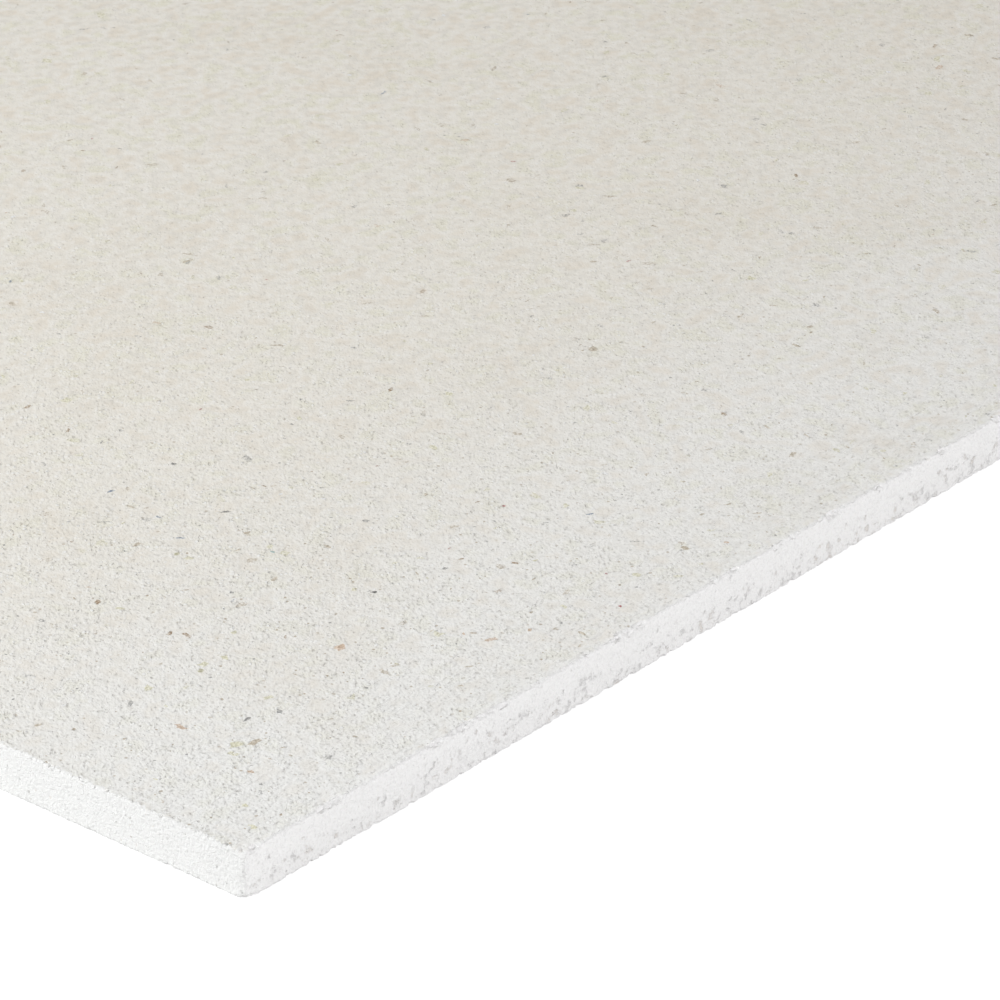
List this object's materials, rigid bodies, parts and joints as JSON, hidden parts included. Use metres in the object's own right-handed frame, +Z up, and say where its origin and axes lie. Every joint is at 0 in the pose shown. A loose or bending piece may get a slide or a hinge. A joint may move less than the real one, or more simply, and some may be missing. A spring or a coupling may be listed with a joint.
{
  "type": "gypsum fibre board",
  "caption": "Flat rectangular gypsum fibre board with square-sawn edges and slightly eased arrises, used as dry lining for walls, ceilings and floors.",
  "frame": {"origin": "middle of the back face, which lies on the floor", "axes": "+X along the length, +Y across the width, +Z up through the thickness to the visible face"},
  "size_m": [1.5, 1, 0.0125],
  "materials": {
    "gypsum_fibre": "matt, fine-grained off-white gypsum flecked with recycled paper fibre"
  },
  "bodies": {
    "root": {"gypsum_fibre_board": "gypsum_fibre"}
  },
  "joints": []
}
